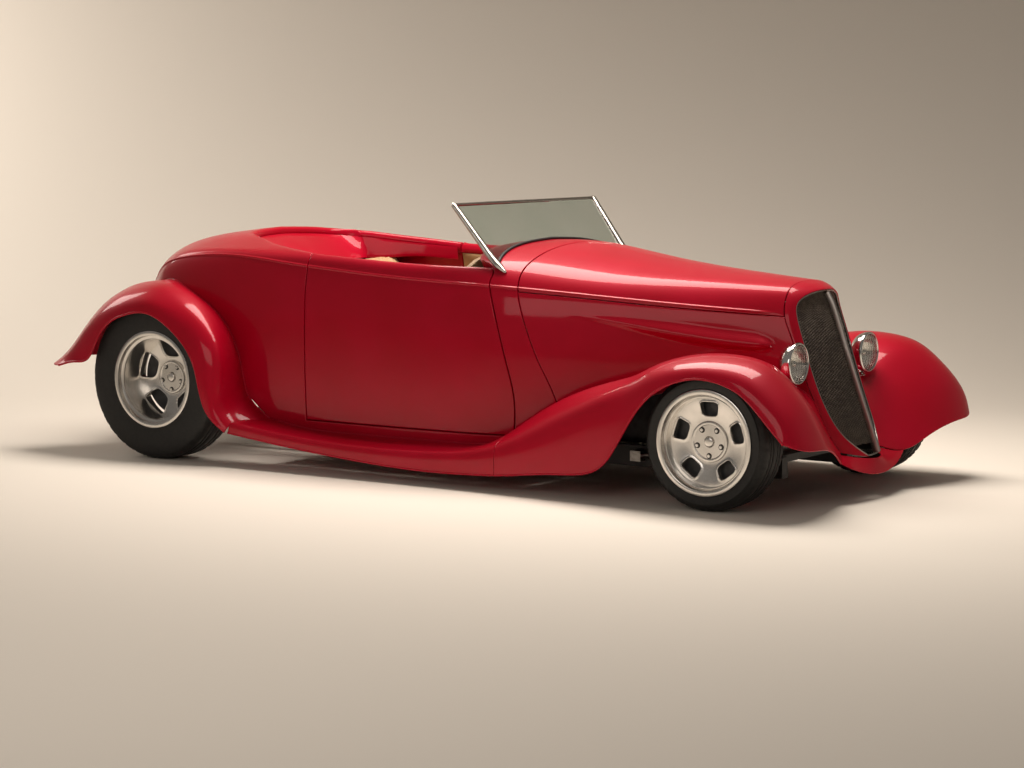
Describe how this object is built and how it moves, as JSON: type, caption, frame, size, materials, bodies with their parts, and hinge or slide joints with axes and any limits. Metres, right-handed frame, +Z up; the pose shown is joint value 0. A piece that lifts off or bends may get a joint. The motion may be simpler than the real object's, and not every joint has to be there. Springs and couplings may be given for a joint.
{
  "type": "roadster hot rod",
  "caption": "Full-fendered open roadster hot rod with V-shaped grille, separate hinged doors, hood and deck lid, solid dropped front axle, slanted windshield and bench seat",
  "frame": {"origin": "on the ground, midway along and across the whole car, tyres resting on the plane z = 0", "axes": "+X points forward, +Y to the car's left, +Z up"},
  "size_m": [3.9262, 1.746, 1.2045],
  "materials": {
    "body_paint": "deep red gloss paint with clear coat",
    "tyre_rubber": "smooth black tyre rubber",
    "wheel_metal": "polished cast aluminium",
    "bright_chrome": "chrome plate",
    "shield_glass": "clear laminated glass, faintly green",
    "tan_leather": "pleated tan leather",
    "grille_metal": "woven wire mesh with a polished centre bar",
    "frame_paint": "satin black chassis paint",
    "floor_carpet": "dark cut-pile carpet over steel",
    "axle_steel": "polished forged steel",
    "exhaust_steel": "stainless tube",
    "engine_iron": "painted cast iron",
    "wheel_rim_black": "black wrapped rim, polished spokes",
    "lamp_red": "red lens"
  },
  "bodies": {
    "chassis": {"frame": "frame_paint", "floor": "floor_carpet", "body_tub": "body_paint", "hood_sides": "body_paint", "grille_shell": "body_paint", "grille": "grille_metal", "front_apron": "body_paint", "headlamps": "bright_chrome", "front_fender_left": "body_paint", "front_fender_right": "body_paint", "running_board_left": "body_paint", "running_board_right": "body_paint", "rear_fender_left": "body_paint", "rear_fender_right": "body_paint", "windshield_frame": "bright_chrome", "windshield_glass": "shield_glass", "seat_back": "tan_leather", "seat_cushion": "tan_leather", "dash": "tan_leather", "steering_column": "frame_paint", "front_axle": "axle_steel", "rear_axle": "engine_iron", "engine": "engine_iron", "driveline": "engine_iron", "exhaust": "exhaust_steel", "fuel_tank": "engine_iron", "tail_lamps": "lamp_red"},
    "door_left": {"door_left": "body_paint", "door_trim_left": "tan_leather"},
    "door_right": {"door_right": "body_paint", "door_trim_right": "tan_leather"},
    "deck_lid": {"deck_lid": "body_paint"},
    "hood": {"hood_top": "body_paint"},
    "steering_wheel": {"steering_wheel": "wheel_rim_black"},
    "knuckle_left": {"knuckle_left": "axle_steel"},
    "knuckle_right": {"knuckle_right": "axle_steel"},
    "tie_rod": {"tie_rod": "axle_steel"},
    "wheel_front_left": {"tyre_front_left": "tyre_rubber", "rim_front_left": "wheel_metal"},
    "wheel_front_right": {"tyre_front_right": "tyre_rubber", "rim_front_right": "wheel_metal"},
    "wheel_rear_left": {"tyre_rear_left": "tyre_rubber", "rim_rear_left": "wheel_metal"},
    "wheel_rear_right": {"tyre_rear_right": "tyre_rubber", "rim_rear_right": "wheel_metal"}
  },
  "joints": [
    {"name": "steer_left", "type": "hinge", "parent": "chassis", "child": "knuckle_left", "pos_m": [1.489, 0.56, 0.28], "axis": [0, 0, 1], "range_deg": [-28, 28]},
    {"name": "steer_right", "type": "hinge", "parent": "chassis", "child": "knuckle_right", "pos_m": [1.489, -0.56, 0.28], "axis": [0, 0, 1], "range_deg": [-28, 28]},
    {"name": "tie_rod_swing", "type": "hinge", "parent": "knuckle_left", "child": "tie_rod", "pos_m": [1.359, 0.56, 0.25], "axis": [0, 0, 1], "range_deg": [-28, 28]},
    {"name": "steering_wheel_turn", "type": "hinge", "parent": "chassis", "child": "steering_wheel", "pos_m": [-0.056, 0.34, 0.8], "axis": [-0.9063, 0, 0.4226], "range_deg": [-420, 420]},
    {"name": "spin_front_left", "type": "hinge", "parent": "knuckle_left", "child": "wheel_front_left", "pos_m": [1.489, 0.696, 0.28], "axis": [0, 1, 0], "continuous": true},
    {"name": "spin_front_right", "type": "hinge", "parent": "knuckle_right", "child": "wheel_front_right", "pos_m": [1.489, -0.696, 0.28], "axis": [0, 1, 0], "continuous": true},
    {"name": "spin_rear_left", "type": "hinge", "parent": "chassis", "child": "wheel_rear_left", "pos_m": [-1.356, 0.727, 0.365], "axis": [0, 1, 0], "continuous": true},
    {"name": "spin_rear_right", "type": "hinge", "parent": "chassis", "child": "wheel_rear_right", "pos_m": [-1.356, -0.727, 0.365], "axis": [0, 1, 0], "continuous": true},
    {"name": "door_left_hinge", "type": "hinge", "parent": "chassis", "child": "door_left", "pos_m": [-0.61307, 0.66012, 0.5], "axis": [0, 0, 1], "range_deg": [0, 60]},
    {"name": "door_right_hinge", "type": "hinge", "parent": "chassis", "child": "door_right", "pos_m": [-0.61307, -0.66012, 0.5], "axis": [0, 0, -1], "range_deg": [0, 60]},
    {"name": "deck_lid_hinge", "type": "hinge", "parent": "chassis", "child": "deck_lid", "pos_m": [-1.37782, 0, 1.02041], "axis": [0, 1, 0], "range_deg": [0, 50]},
    {"name": "hood_hinge", "type": "hinge", "parent": "chassis", "child": "hood", "pos_m": [0.4445, 0, 1.024], "axis": [0, -1, 0], "range_deg": [0, 50]}
  ],
  "couplings": [
    {"joint": "steer_right", "follows": "steer_left", "ratio": 1},
    {"joint": "tie_rod_swing", "follows": "steer_left", "ratio": -1},
    {"joint": "steering_wheel_turn", "follows": "steer_left", "ratio": 15}
  ]
}
